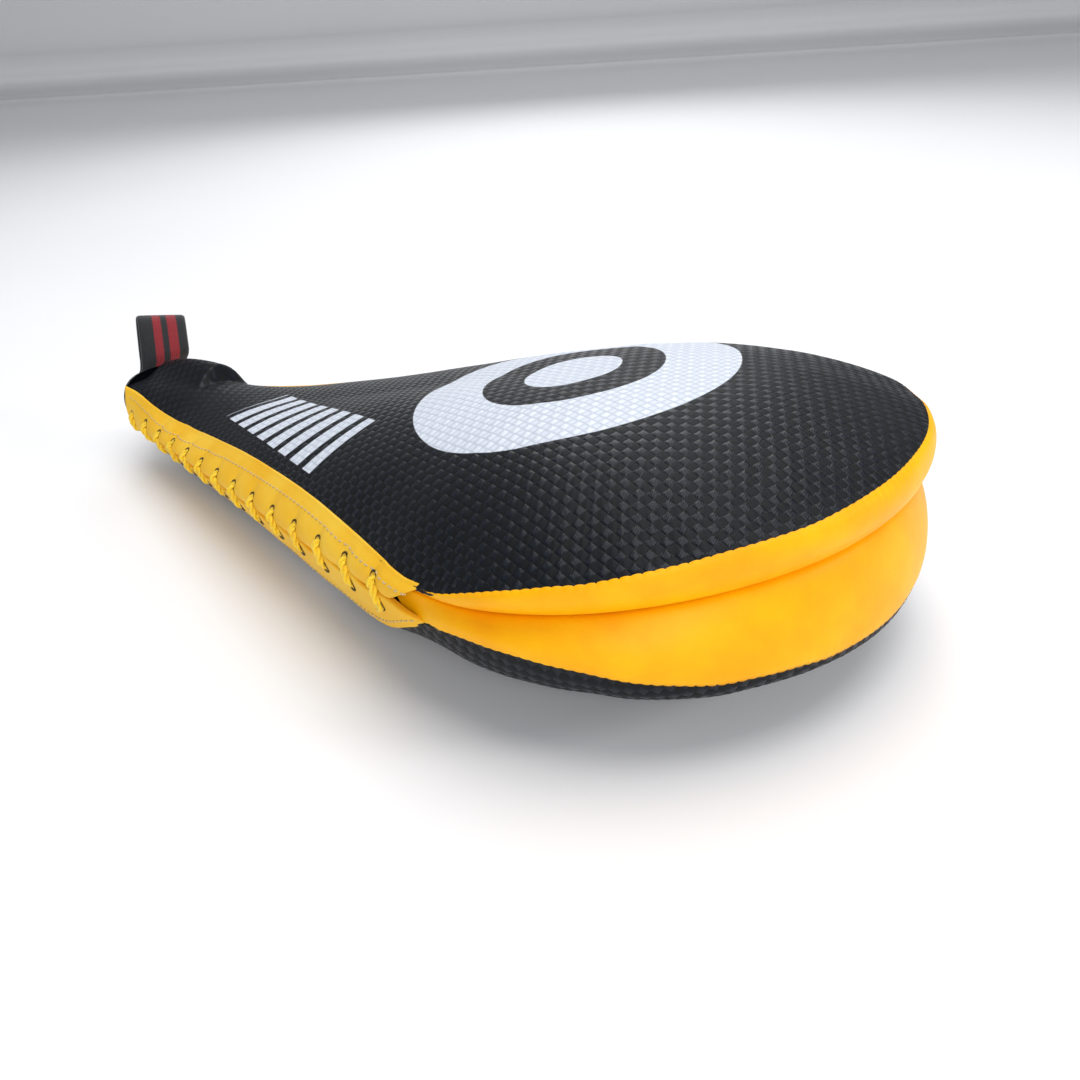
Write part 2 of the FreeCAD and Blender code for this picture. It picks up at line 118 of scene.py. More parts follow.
def side_centre():
    """Centre of the large arc down the right side: through the butt's corner, touching the head."""
    reach = SIDE_RADIUS - HEAD_RADIUS
    span = math.hypot(HEAD_X, BUTT_HALF_WIDTH)
    along = (SIDE_RADIUS ** 2 - reach ** 2 + span ** 2) / (2 * span)
    off = math.sqrt(SIDE_RADIUS ** 2 - along ** 2)
    return ((along * HEAD_X - off * BUTT_HALF_WIDTH) / span,
            -BUTT_HALF_WIDTH + (along * BUTT_HALF_WIDTH + off * HEAD_X) / span)


SIDE_X, SIDE_Y = side_centre()
CORNER_Y = SIDE_Y - math.sqrt((SIDE_RADIUS - CORNER) ** 2 - (SIDE_X - CORNER) ** 2)
# turn of the outward normal from -Y, where the side arc starts and ends
START_TURN = math.asin((SIDE_X - CORNER) / (SIDE_RADIUS - CORNER))
END_TURN = math.asin((SIDE_X - HEAD_X) / (SIDE_RADIUS - HEAD_RADIUS))
BUTT_END = -CORNER_Y
CORNER_END = BUTT_END + CORNER * (math.pi / 2 - START_TURN)
SIDE_END = CORNER_END + SIDE_RADIUS * (START_TURN - END_TURN)
TIP = SIDE_END + HEAD_RADIUS * (math.pi / 2 + END_TURN)


def plan(s):
    """Points of the right-hand outline at distances s from the middle of the butt, and normals."""
    s = np.asarray(s, float)
    down = 1.5 * math.pi
    angle = np.interp(s, (0, BUTT_END, CORNER_END, SIDE_END, TIP),
                      (math.pi, math.pi, down - START_TURN, down - END_TURN, 2 * math.pi))
    normal = np.stack((np.cos(angle), np.sin(angle)), -1)
    on_butt = np.stack((np.zeros_like(s), -s), -1)
    on_corner = (CORNER, CORNER_Y) + CORNER * normal
    on_side = (SIDE_X, SIDE_Y) + SIDE_RADIUS * normal
    on_head = (HEAD_X, 0) + HEAD_RADIUS * normal
    place = s[..., None]
    point = np.select([place <= BUTT_END, place <= CORNER_END, place <= SIDE_END],
                      [on_butt, on_corner, on_side], on_head)
    return point, normal


def spine(s):
    """Where the ray inwards from the outline meets the middle line."""
    point, normal = plan(np.clip(s, CORNER_END, SIDE_END))
    return point[..., 0] - normal[..., 0] * point[..., 1] / normal[..., 1]


OUTLINE = np.linspace(CORNER_END, TIP, 4000)


def along_side(x):
    """Distance along the outline of the place with that X."""
    return np.interp(x, plan(OUTLINE)[0][:, 0], OUTLINE)


def through(table, x):
    """A smooth curve through a table of (place, value) pairs."""
    places, values = np.array(table, float).T
    slopes = np.gradient(values, places)
    x = np.clip(x, places[0], places[-1])
    i = np.clip(np.searchsorted(places, x) - 1, 0, len(places) - 2)
    width = places[i + 1] - places[i]
    t = (x - places[i]) / width
    rise = t * t * (3 - 2 * t)
    return (values[i] * (1 - rise) + values[i + 1] * rise
            + width * t * (1 - t) * ((1 - t) * slopes[i] - t * slopes[i + 1]))


def ease(low, high, x):
    """From 0 at low to 1 at high, smoothly."""
    t = np.clip((x - low) / (high - low), 0, 1)
    return t * t * (3 - 2 * t)


def wander(x, y, size, seed):
    """Smooth lumps from -1 to 1 over a plane, about size apart."""
    x = x / size + 17.3 * seed
    y = y / size + 9.1 * seed
    i, j = np.floor(x), np.floor(y)
    u, v = ease(0, 1, x - i), ease(0, 1, y - j)

    def knot(i, j):
        return np.modf(np.abs(np.sin(i * 127.1 + j * 311.7) * 43758.5453))[0] * 2 - 1

    return ((knot(i, j) * (1 - u) + knot(i + 1, j) * u) * (1 - v)
            + (knot(i, j + 1) * (1 - u) + knot(i + 1, j + 1) * u) * v)


def seam_height(s, half, side):
    """Height of the black panel's edge above the mid-plane, with the pull of the sewing."""
    x = plan(s)[0][..., 0]
    seed = 3 + (half == "lower") + 2 * (side > 0)
    on_head = ease(255, 300, x)
    pull = wander(s, 0, 34, seed) * 0.9 + wander(s, 0, 13, seed + 5) * 0.45
    bites = 0.3 * np.abs(np.sin(math.pi * s / STITCH))
    return through(EDGE[half], x) + on_head * (pull * ease(0, 60, TIP - s) + bites)


# ---------------------------------------------------------------- meshes

def finished(mesh, name, material, body=None):
    """An object for a mesh, smooth shaded, riding on a body."""
    mesh.materials.append(material)
    mesh.polygons.foreach_set("use_smooth", [True] * len(mesh.polygons))
    piece = bpy.data.objects.new(name, mesh)
    bpy.context.scene.collection.objects.link(piece)
    if body:
        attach(piece, body)
    return piece


def sheet_mesh(name, points, flat=None, closed=False, flip=False):
    """A mesh through a grid of points of the row frame: rows by columns. flat is the cloth's own
    coordinates, in mm. closed joins the last column to the first."""
    rows, columns = points.shape[:2]
    index = np.arange(rows * columns).reshape(rows, columns)
    if closed:
        index = np.concatenate((index, index[:, :1]), 1)
    quads = np.stack((index[:-1, :-1], index[1:, :-1], index[1:, 1:], index[:-1, 1:]), -1)
    quads = quads.reshape(-1, 4)
    if flip:
        quads = quads[:, ::-1]
    mesh = bpy.data.meshes.new(name)
    mesh.from_pydata(points.reshape(-1, 3).tolist(), [], quads.tolist())
    if flat is not None:
        layer = mesh.uv_layers.new(name="flat")
        layer.data.foreach_set("uv", (flat.reshape(-1, 2)[quads.ravel()] * MM).ravel())
    work = bmesh.new()
    work.from_mesh(mesh)
    bmesh.ops.remove_doubles(work, verts=work.verts, dist=0.02 * MM)
    work.to_mesh(mesh)
    work.free()
    return mesh


def outwards(mesh):
    """Turn a closed mesh's faces outwards."""
    work = bmesh.new()
    work.from_mesh(mesh)
    bmesh.ops.recalc_face_normals(work, faces=work.faces)
    work.to_mesh(mesh)
    work.free()
    return mesh


def joined(name, meshes):
    """One mesh out of several that have the same layers."""
    work = bmesh.new()
    for mesh in meshes:
        work.from_mesh(mesh)
        bpy.data.meshes.remove(mesh)
    mesh = bpy.data.meshes.new(name)
    work.to_mesh(mesh)
    work.free()
    return mesh


def rail(path):
    """Directions along a path and two directions across it that don't twist."""
    step = np.gradient(path, axis=0)
    ahead = step / np.linalg.norm(step, axis=1, keepdims=True)
    across = np.zeros_like(path)
    first = np.cross(ahead[0], (0.31, 0.2, 0.93))
    across[0] = first / np.linalg.norm(first)
    for i in range(1, len(path)):
        turned = across[i - 1] - ahead[i] * np.dot(across[i - 1], ahead[i])
        across[i] = turned / np.linalg.norm(turned)
    return ahead, across, np.cross(ahead, across)


def length_along(path):
    """Length along a path, from its first point."""
    return np.concatenate(([0], np.cumsum(np.linalg.norm(np.diff(path, axis=0), axis=1))))


def length_across(points):
    """Length along each row of a grid of points, from its first column."""
    steps = np.linalg.norm(np.diff(points, axis=1), axis=2)
    return np.concatenate((np.zeros((len(points), 1)), np.cumsum(steps, 1)), 1)


def strand(name, path, radius, sides=8, offset=0, twist=0, phase=0):
    """A closed round strand along a path in mm. offset winds it about the path, by twist radians
    per mm."""
    path = np.asarray(path, float)
    radius = np.broadcast_to(np.asarray(radius, float), len(path))
    offset = np.broadcast_to(np.asarray(offset, float), len(path))
    ahead, across, up = rail(path)
    run = length_along(path)
    turn = (phase + twist * run)[:, None]
    line = path + offset[:, None] * (across * np.cos(turn) + up * np.sin(turn))
    around = np.arange(sides) * 2 * math.pi / sides
    ring = (across[:, None] * np.cos(around)[None, :, None]
            + up[:, None] * np.sin(around)[None, :, None])
    points = line[:, None] + ring * radius[:, None, None]
    # both ends close to a point
    ends = [np.repeat(end[:, None], sides, 1) for end in (line[:1], line[-1:])]
    points = np.concatenate((ends[0], points, ends[1]))
    run = np.concatenate((run[:1], run, run[-1:]))
    flat = np.stack(np.broadcast_arrays(run[:, None], around[None, :]), -1)
    return sheet_mesh(name, to_row(points), flat, closed=True, flip=True)


def curve_through(points, per_run=8):
    """A smooth path through points: Catmull-Rom."""
    points = np.asarray(points, float)
    padded = np.concatenate((2 * points[:1] - points[1:2], points, 2 * points[-1:] - points[-2:-1]))
    found = []
    t = (np.arange(per_run) / per_run)[:, None]
    for a, b, c, d in zip(padded, padded[1:], padded[2:], padded[3:]):
        found.append(0.5 * (2 * b + (c - a) * t + (2 * a - 5 * b + 4 * c - d) * t ** 2
                            + (3 * b - a - 3 * c + d) * t ** 3))
    found.append(points[-1:])
    return np.concatenate(found)


# ---------------------------------------------------------------- materials

class Shader:
    """A material's nodes, with short ways to add them."""

    def __init__(self, name):
        self.material = bpy.data.materials.new(name)
        self.material.use_nodes = True
        self.tree = self.material.node_tree
        self.surface = self.tree.nodes["Principled BSDF"]

    def node(self, kind, **settings):
        made = self.tree.nodes.new("ShaderNode" + kind)
        for name, value in settings.items():
            setattr(made, name, value)
        return made

    def put(self, socket, value):
        """Link a socket, or set it to a number or colour."""
        if isinstance(value, bpy.types.NodeSocket):
            self.tree.links.new(value, socket)
        else:
            socket.default_value = value

    def set(self, **inputs):
        for name, value in inputs.items():
            self.put(self.surface.inputs[name.replace("_", " ")], value)
        return self

    def flat(self):
        """The cloth's own coordinates, which stay with it when it bends."""
        return self.node("UVMap", uv_map="flat").outputs[0]

    def moved(self, vector, turn=0.0, scale=(1, 1, 1), shift=(0, 0, 0)):
        made = self.node("Mapping")
        self.put(made.inputs[0], vector)
        made.inputs["Rotation"].default_value[2] = turn
        made.inputs["Scale"].default_value = scale
        made.inputs["Location"].default_value = shift
        return made.outputs[0]

    def split(self, vector):
        made = self.node("SeparateXYZ")
        self.put(made.inputs[0], vector)
        return made.outputs[0], made.outputs[1], made.outputs[2]

    def math(self, operation, *values, clamp=False):
        made = self.node("Math", operation=operation, use_clamp=clamp)
        for socket, value in zip(made.inputs, values):
            self.put(socket, value)
        return made.outputs[0]

    def noise(self, vector, scale, detail=2.0, roughness=0.5):
        made = self.node("TexNoise")
        self.put(made.inputs["Vector"], vector)
        made.inputs["Scale"].default_value = scale
        made.inputs["Detail"].default_value = detail
        made.inputs["Roughness"].default_value = roughness
        return made.outputs[0]

    def cells(self, vector, scale, feature="F1"):
        made = self.node("TexVoronoi", feature=feature)
        self.put(made.inputs["Vector"], vector)
        made.inputs["Scale"].default_value = scale
        return made.outputs[0]

    def between(self, value, low, high, to_low=0.0, to_high=1.0):
        made = self.node("MapRange", interpolation_type="SMOOTHSTEP")
        for socket, number in zip(made.inputs, (value, low, high, to_low, to_high)):
            self.put(socket, number)
        return made.outputs[0]

    def mix(self, share, first, second):
        made = self.node("Mix", data_type="RGBA")
        self.put(made.inputs[0], share)
        self.put(made.inputs[6], first)
        self.put(made.inputs[7], second)
        return made.outputs[2]

    def bump(self, height, distance, strength=1.0):
        made = self.node("Bump")
        made.inputs["Distance"].default_value = distance
        made.inputs["Strength"].default_value = strength
        self.put(made.inputs["Height"], height)
        return made.outputs[0]


def rgb(red, green, blue):
    """A colour given as 0 to 255 on a screen, in the shader's linear terms."""
    def linear(value):
        value /= 255
        return value / 12.92 if value <= 0.04045 else ((value + 0.055) / 1.055) ** 2.4
    return (linear(red), linear(green), linear(blue), 1)


WEAVE_PITCH = 3.05 * MM
WEAVE_TURN = math.radians(20)
DISC_X, DISC_RADIUS = 275.8 * MM, 61.3 * MM
RING_HOLE, SPOT = 0.56, 0.3          # shares of the disc's radius
BARS_X, BARS_Y = 147.5 * MM, -29 * MM
BARS_TURN = math.radians(23)
BARS_LONG, BARS_WIDE = 114 * MM, 31 * MM
BAR_PITCH, BAR_GAP = 14.4 * MM, 5.2 * MM
BAR_SLANT = 0.03
BAR_SHIFT = 500 * MM                 # keeps the run along the bars above 0


def print_mask(shader):
    """Where the white print lies: a plain target, and slanted bars beside the neck."""
    x, y, _ = shader.split(shader.flat())
    # the target: a wide ring and a spot
    along = shader.math("POWER", shader.math("SUBTRACT", x, DISC_X), 2.0)
    reach = shader.math("SQRT", shader.math("ADD", along, shader.math("POWER", y, 2.0)))
    soft = 0.15 * MM

    def disc(radius):
        return shader.between(reach, radius - soft, radius + soft, 1.0, 0.0)

    def within(value, width):
        return shader.between(shader.math("ABSOLUTE", value), width / 2 - soft, width / 2 + soft,
                              1.0, 0.0)

    ring = shader.math("SUBTRACT", disc(DISC_RADIUS), disc(DISC_RADIUS * RING_HOLE))
    target = shader.math("ADD", ring, disc(DISC_RADIUS * SPOT))
    # the bars: seven whole stripes, a cut one and a sliver, leaning across the neck's side
    local = shader.moved(shader.flat(), shift=(-BARS_X, -BARS_Y, 0))
    turned = shader.node("VectorRotate", rotation_type="Z_AXIS")
    shader.put(turned.inputs["Vector"], local)
    turned.inputs["Angle"].default_value = BARS_TURN
    u, v, _ = shader.split(turned.outputs[0])
    slanted = shader.math("SUBTRACT", u, shader.math("MULTIPLY", v, BAR_SLANT))
    stripe = shader.math("PINGPONG", shader.math("ADD", slanted, BAR_SHIFT), BAR_PITCH / 2)
    bars = shader.between(stripe, BAR_GAP / 2 - soft, BAR_GAP / 2 + soft, 0.0, 1.0)
    inside = shader.math("MULTIPLY", within(u, BARS_LONG), within(v, BARS_WIDE))
    return shader.math("MAXIMUM", target, shader.math("MULTIPLY", bars, inside))


def weave_height(shader):
    """Embossed basket weave: pillows, every other one raised and ribbed. Gives the height, which
    ones are raised, and the pillows' own rounding."""
    laid = shader.moved(shader.flat(), WEAVE_TURN, (1 / WEAVE_PITCH, 1 / WEAVE_PITCH, 1))
    x, y, _ = shader.split(laid)
    parity = shader.math("ADD", shader.math("FLOOR", x), shader.math("FLOOR", y))
    raised = shader.math("PINGPONG", parity, 1.0)
    across = shader.math("SUBTRACT", shader.math("FRACT", x), 0.5)
    up = shader.math("SUBTRACT", shader.math("FRACT", y), 0.5)

    def rounded(value):
        doubled = shader.math("MULTIPLY", shader.math("ABSOLUTE", value), 2.0)
        return shader.math("SUBTRACT", 1.0, shader.math("POWER", doubled, 3.0))

    pillow = shader.math("MULTIPLY", rounded(across), rounded(up))
    leaning = shader.math("ADD", x, shader.math("MULTIPLY", y, 0.45))
    ribs = shader.math("SINE", shader.math("MULTIPLY", leaning, 25.0))
    ribbed = shader.math("MULTIPLY_ADD", shader.math("MULTIPLY", ribs, raised), 0.09, pillow)
    height = shader.math("MULTIPLY", ribbed, shader.math("MULTIPLY_ADD", raised, 0.6, 0.4))
    return height, raised, pillow


def cover_material():
    """Black embossed PU leather with the white print. Its colour carries painted highlight on the
    raised pillows and painted shade in the low cells and in the print's recesses.
    """
    shader = Shader("black_weave_pu")
    x, _, _ = shader.split(shader.flat())
    height, raised, pillow = weave_height(shader)
    grain = shader.noise(shader.flat(), 1400, 3.0, 0.6)
    patches = shader.noise(shader.flat(), 22, 3.0, 0.55)
    depth = shader.between(x, 60 * MM, 190 * MM, 0.35, 1.0)
    relief = shader.math("MULTIPLY", height, depth)
    relief = shader.math("MULTIPLY_ADD", grain, 0.25, relief)
    white = print_mask(shader)
    # painted highlight and shade: the raised pillows' middles are painted lighter, their edges and the
    # low cells darker
    black = shader.mix(shader.math("MULTIPLY", raised, pillow), rgb(5, 8, 12), rgb(18, 24, 33))
    black = shader.mix(shader.between(patches, 0.35, 0.7, 0.0, 0.35), black, rgb(18, 21, 27))
    # painted shade: the print is painted greyer where the weave lies low and brighter on its raised
    # parts
    ink = shader.mix(shader.between(height, 0.0, 0.6), rgb(196, 203, 216), rgb(224, 230, 240))
    shader.set(Base_Color=shader.mix(white, black, ink),
               Roughness=shader.math("ADD", shader.math("MULTIPLY_ADD", raised, -0.27, 0.55),
                                     shader.math("MULTIPLY", patches, 0.1)),
               Specular_IOR_Level=0.22,
               Normal=shader.bump(relief, 0.3 * MM, 1.0))
    return shader.material


def yellow_material(name, light, deep, roughness, grain_size, grain_depth):
    """Smooth yellow PU: fine grain, slight change of tone, duller where it is handled."""
    shader = Shader(name)
    patches = shader.noise(shader.flat(), 30, 4.0, 0.6)
    pores = shader.cells(shader.flat(), 1 / grain_size, "SMOOTH_F1")
    fine = shader.noise(shader.flat(), 3 / grain_size, 3.0, 0.65)
    relief = shader.math("MULTIPLY_ADD", fine, 0.5, pores)
    tone = shader.between(patches, 0.3, 0.72)
    speck = shader.between(fine, 0.62, 0.8, 0.0, 0.10)
    base = shader.mix(speck, shader.mix(tone, light, deep), rgb(205, 150, 70))
    shader.set(Base_Color=base,
               Roughness=shader.math("MULTIPLY_ADD", patches, 0.16, roughness - 0.08),
               Specular_IOR_Level=0.2,
               Normal=shader.bump(relief, grain_depth, 0.6))
    return shader.material


def cord_material():
    """Lemon yellow polyester cord, woven finely round each strand."""
    shader = Shader("lacing_polyester")
    laid = shader.moved(shader.flat(), scale=(1, 0.001, 1))
    run, around, _ = shader.split(shader.flat())
    winding = shader.math("MULTIPLY", around, 3000.0)
    threads = shader.math("SINE", shader.math("MULTIPLY_ADD", run, 9000.0, winding))
    fuzz = shader.noise(laid, 3500, 3.0, 0.7)
    relief = shader.math("MULTIPLY_ADD", fuzz, 0.8, shader.math("MULTIPLY", threads, 0.5))
    base = shader.mix(shader.between(fuzz, 0.3, 0.75), rgb(236, 186, 4), rgb(255, 226, 36))
    shader.set(Base_Color=base, Roughness=0.55, Sheen_Weight=0.25,
               Normal=shader.bump(relief, 0.08 * MM, 0.8))
    return shader.material


def thread_material(name, colour, shade):
    """Sewing thread: plies that wind round it, a little darker between them: painted shade."""
    shader = Shader(name)
    run, around, _ = shader.split(shader.flat())
    winding = shader.math("MULTIPLY", around, 1000.0)
    ply = shader.math("SINE", shader.math("MULTIPLY_ADD", run, 8000.0, winding))
    # the gaps between the plies take the darker colour: painted shade
    shader.set(Base_Color=shader.mix(shader.between(ply, -1.0, 1.0), shade, colour), Roughness=0.6,
               Normal=shader.bump(ply, 0.05 * MM, 0.7))
    return shader.material


def metal_material():
    """Antique brass: dark, worn on the rims."""
    shader = Shader("antique_metal")
    place = shader.node("TexCoord").outputs["Object"]
    wear = shader.noise(place, 900, 4.0, 0.6)
    worn = shader.between(wear, 0.4, 0.65)
    shader.set(Base_Color=shader.mix(worn, rgb(52, 38, 22), rgb(112, 88, 52)),
               Metallic=0.85, Roughness=shader.between(wear, 0.3, 0.7, 0.62, 0.36),
               Normal=shader.bump(wear, 0.04 * MM, 0.5))
    return shader.material


STRAP_WIDTH = 26
STRIPES = ((0.30, 0.47), (0.60, 0.80))


def elastic_material():
    """Black woven elastic with two dark red stripes; its flat coordinates run along and across it."""
    shader = Shader("striped_elastic")
    along, across, _ = shader.split(shader.flat())
    share = shader.math("DIVIDE", across, STRAP_WIDTH * MM)
    ribs = shader.math("SINE", shader.math("MULTIPLY", across, 2 * math.pi / (1.1 * MM)))
    picks = shader.math("SINE", shader.math("MULTIPLY_ADD", along, 2 * math.pi / (0.7 * MM),
                                            shader.math("MULTIPLY", ribs, 1.2)))
    relief = shader.math("MULTIPLY_ADD", picks, 0.45, ribs)
    fuzz = shader.noise(shader.flat(), 2500, 2.0, 0.6)
    red = 0.0
    for low, high in STRIPES:
        rises = shader.between(share, low - 0.012, low + 0.012)
        falls = shader.between(share, high - 0.012, high + 0.012, 1.0, 0.0)
        red = shader.math("ADD", red, shader.math("MULTIPLY", rises, falls))
    dark = shader.mix(shader.between(fuzz, 0.35, 0.7), rgb(13, 15, 19), rgb(30, 33, 38))
    wine = shader.mix(shader.between(fuzz, 0.35, 0.7), rgb(122, 16, 28), rgb(160, 28, 42))
    shader.set(Base_Color=shader.mix(red, dark, wine), Roughness=0.75, Sheen_Weight=0.2,
               Normal=shader.bump(relief, 0.12 * MM, 0.8))
    return shader.material


def board_material():
    """Pressed board inside the handle and blades."""
    shader = Shader("pressed_board")
    place = shader.node("TexCoord").outputs["Object"]
    fibres = shader.noise(shader.moved(place, scale=(1, 6, 6)), 300, 5.0, 0.7)
    shader.set(Base_Color=shader.mix(fibres, rgb(120, 92, 62), rgb(168, 136, 98)), Roughness=0.8,
               Normal=shader.bump(fibres, 0.1 * MM, 0.6))
    return shader.material


BLACK = cover_material()
YELLOW = yellow_material("yellow_pu", rgb(255, 188, 0), rgb(249, 168, 0), 0.46,
                         grain_size=0.9 * MM, grain_depth=0.05 * MM)
FACING = yellow_material("yellow_facing_pu", rgb(248, 200, 60), rgb(244, 184, 34), 0.58,
                         grain_size=1.2 * MM, grain_depth=0.10 * MM)
CORD = cord_material()
THREAD = thread_material("pale_thread", rgb(232, 206, 150), rgb(176, 146, 88))
METAL = metal_material()
ELASTIC = elastic_material()
BOARD = board_material()

SIGN = {"upper": 1, "lower": -1}


def sewn_over_hinge(piece):
    """A piece, its placement baked into its mesh."""
    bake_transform(piece)
    return piece


def settled(points):
    """Row-frame points kept on the floor: what would reach under it is pressed flat."""
    soft = 0.7 * MM
    points = points.copy()
    z = points[..., 2]
    points[..., 2] = (z + np.sqrt(z * z + soft * soft)) / 2
    return points


# ---------------------------------------------------------------- black covers

GUSSET_START = along_side(266)


def edge_line(s, half, side):
    """The black panel's edge: plan point, outward normal and height, for one side."""
    point, normal = plan(s)
    place = point - normal * through(INSET, s)[..., None]
    return place * (1, -side), normal * (1, -side), seam_height(s, half, side)


DRUM_POWER = 3.3           # how full the lower face is: 2 is an ellipse, more is squarer
HUMP_HEIGHT = 9            # of the swelling over the strap's ends
HUMP_START = 0.55          # share of its height that the hump has at the butt
HUMP_RISES_X, HUMP_DROPS_X = (-2, 22), (47.5, 51.5)
HUMP_RISES_Y, HUMP_DROPS_Y = (-8, 12), (20, 30)


def on_drum(s):
    """From 0 on the handle to 1 on a blade."""
    return ease(GUSSET_START - 30, GUSSET_START + 40, s)


def butt_hump(x, y):
    """Swelling of the cover over the strap's folded ends: a ridge that drops off towards the head."""
    rise = HUMP_START + (1 - HUMP_START) * ease(*HUMP_RISES_X, x)
    along = rise * (1 - ease(*HUMP_DROPS_X, x))
    across = ease(*HUMP_RISES_Y, y) * (1 - ease(*HUMP_DROPS_Y, y))
    return HUMP_HEIGHT * along * across


def cover_surface(s, half, side, rings):
    """Points of a panel along rays from the middle line to the edge: rows by rings."""
    edge, normal, height = edge_line(s, half, side)
    middle = np.stack((spine(s), np.zeros_like(s)), -1)
    ridge = through(RIDGE[half], spine(s))
    rho = rings[None, :]
    place = middle[:, None] + (edge - middle)[:, None] * rho[..., None]
    fall = rho ** CROWN_POWER
    if half == "lower":
        # the lower face is drummed full: it drops straight down from its seam before it turns under
        drum = on_drum(s)[:, None]
        fall = fall * (1 - drum) + (1 - np.sqrt(1 - rho ** DRUM_POWER)) * drum
    z = height[:, None] * fall + ridge[:, None] * (1 - fall)
    x, y = place[..., 0], place[..., 1]
    seed = 11 + (half == "lower")
    reach = np.linalg.norm(edge - middle, axis=1)[:, None]
    from_edge = (1 - rho) * reach
    size = ease(20, 110, reach)
    z += wander(x, y, 62, seed) * 0.9 * size * (1 - rho ** 8)
    z += wander(x, y, 24, seed + 7) * 0.28 * size * (1 - rho ** 8)
    if half == "upper":
        z += butt_hump(x, y) * (1 - rho ** 6)
    tucks = wander(s[:, None], side * 40 + from_edge * 0.35, 11, seed + 3)
    z += tucks * 0.55 * size * np.exp(-from_edge / 9) * (1 - np.exp(-from_edge / 1.5))
    return np.concatenate((place, z[..., None]), -1), normal


# the cover's turned edge: how far out and how far down, from the seam inwards
HEM = ((0.3, 0.5), (0.1, 1.2), (-0.9, 1.9), (-3.0, 2.4))


def make_cover(half):
    """One face of the paddle: a single panel over handle and blade, padded underneath."""
    s = np.linspace(0, TIP, 620)
    rings = 1 - (1 - np.linspace(0, 1, 36)) ** 1.7
    sides = []
    for side in (1, -1):
        points, normal = cover_surface(s, half, side, rings)
        edge = points[:, -1]
        hem = [np.concatenate((edge[:, :2] + normal * out, edge[:, 2:] - down), -1)
               for out, down in HEM]
        points = np.concatenate((points, np.stack(hem, 1)), 1)
        # the cloth's coordinates keep to the plan over the face and to the cloth's length by its edge
        steps = np.diff(points, axis=1)
        by_edge = np.concatenate((ease(0.75, 0.95, rings[1:]), np.ones(len(HEM))))
        lengths = (np.linalg.norm(steps, axis=2) * by_edge
                   + np.linalg.norm(steps[..., :2], axis=2) * (1 - by_edge))
        run = np.concatenate((np.zeros((len(s), 1)), np.cumsum(lengths, 1)), 1)
        ray = points[:, len(rings) - 1, :2] - points[:, 0, :2]
        ray /= np.linalg.norm(ray, axis=1, keepdims=True)
        flat = points[:, :1, :2] + ray[:, None] * run[..., None]
        sides.append((points, flat))
    (right, right_flat), (left, left_flat) = sides
    points = np.concatenate((right[:, ::-1], left[:, 1:]), 1)
    flat = np.concatenate((right_flat[:, ::-1], left_flat[:, 1:]), 1)
    points = points * (1, 1, SIGN[half])
    mesh = sheet_mesh(half + "_cover", settled(to_row(points)), flat, flip=half == "upper")
    piece = finished(mesh, half + "_cover", BLACK)
    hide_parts(half + "_handle_face", half + "_handle_foam",
                half + "_blade_face", half + "_blade_foam")
    return sewn_over_hinge(piece)


# ---------------------------------------------------------------- gussets and inner panels

CREASE = 0.35              # half the gap between the two blades' inner faces
CREASE_IN = 5.5            # how far the crease stands in from the outline
LOWER_DRAWN_IN = 3.5       # how much less the lower gusset bulges at the tip


def moved_in(points, normal, inwards, up):
    """Points moved in along the outline's normal, and up."""
    return points + np.concatenate((-normal * inwards, np.full((len(normal), 1), up)), -1)


def gusset_lines(half, side):
    """Rows along one side of a blade, from the corner to the tip."""
    s = np.linspace(GUSSET_START, TIP, 340)
    edge, normal, height = edge_line(s, half, side)
    opening = ease(GUSSET_START - 6, GUSSET_START + 12, s)
    return s, edge, normal, height, opening


def crease_height(s):
    """Height of the line where the two blades meet, above the mid-plane."""
    return CREASE_LIFT * ease(GUSSET_START + 10, TIP - 40, s)


def make_gusset(half):
    """Yellow band round a blade, from the black panel down to the crease, puffed out."""
    t = np.linspace(0, 1, 22)[None, :]
    sides = []
    for side in (1, -1):
        s, edge, normal, height, opening = gusset_lines(half, side)
        crease = CREASE + SIGN[half] * crease_height(s)
        top = crease + (height - crease) * opening
        inset = through(INSET, s)
        depth = top - crease
        bulge = 0.6 + 0.15 * depth + 0.5 * wander(s, 0, 40, 21 + side)
        if half == "lower":
            bulge = bulge - LOWER_DRAWN_IN * ease(TIP - 130, TIP - 10, s)
        seed = 31 + side + 2 * (half == "lower")
        puff = np.sin(math.pi * t) ** 0.62 * ease(GUSSET_START + 6, GUSSET_START + 46, s)[:, None]
        # from the seam's inset at the top to the crease's inset at the bottom, puffed out between
        out = (inset[:, None] * t - CREASE_IN * t) + (inset + bulge)[:, None] * puff
        tucks = wander(s[:, None], 30 * t + side * 50, 10, seed)
        out = out + tucks * 0.45 * np.exp(-t * depth[:, None] / 5) * puff
        out = out + wander(s[:, None], 60 * t, 33, seed + 9) * 0.4 * puff
        z = top[:, None] + (crease - top)[:, None] * t
        outline_in = edge[:, None] + normal[:, None] * out[..., None]
        points = np.concatenate((outline_in, z[..., None]), -1)
        # both long edges turn in behind the seams
        first = moved_in(points[:, 0], normal, 2.0, -0.8)
        last = moved_in(points[:, -1], normal, 3.0, 0.15)
        points = np.concatenate((first[:, None], points, last[:, None]), 1)
        run = length_across(points)
        flat = np.stack(np.broadcast_arrays(side * (TIP - s)[:, None], run), -1)
        sides.append((points, flat))
    (right, right_flat), (left, left_flat) = sides
    points = np.concatenate((right, left[-2::-1])) * (1, 1, SIGN[half])
    flat = np.concatenate((right_flat, left_flat[-2::-1]))
    mesh = sheet_mesh(half + "_gusset", settled(to_row(points)), flat, flip=half == "lower")
    piece = finished(mesh, half + "_gusset", YELLOW)
    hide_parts(half + "_blade_gusset")
    return sewn_over_hinge(piece)


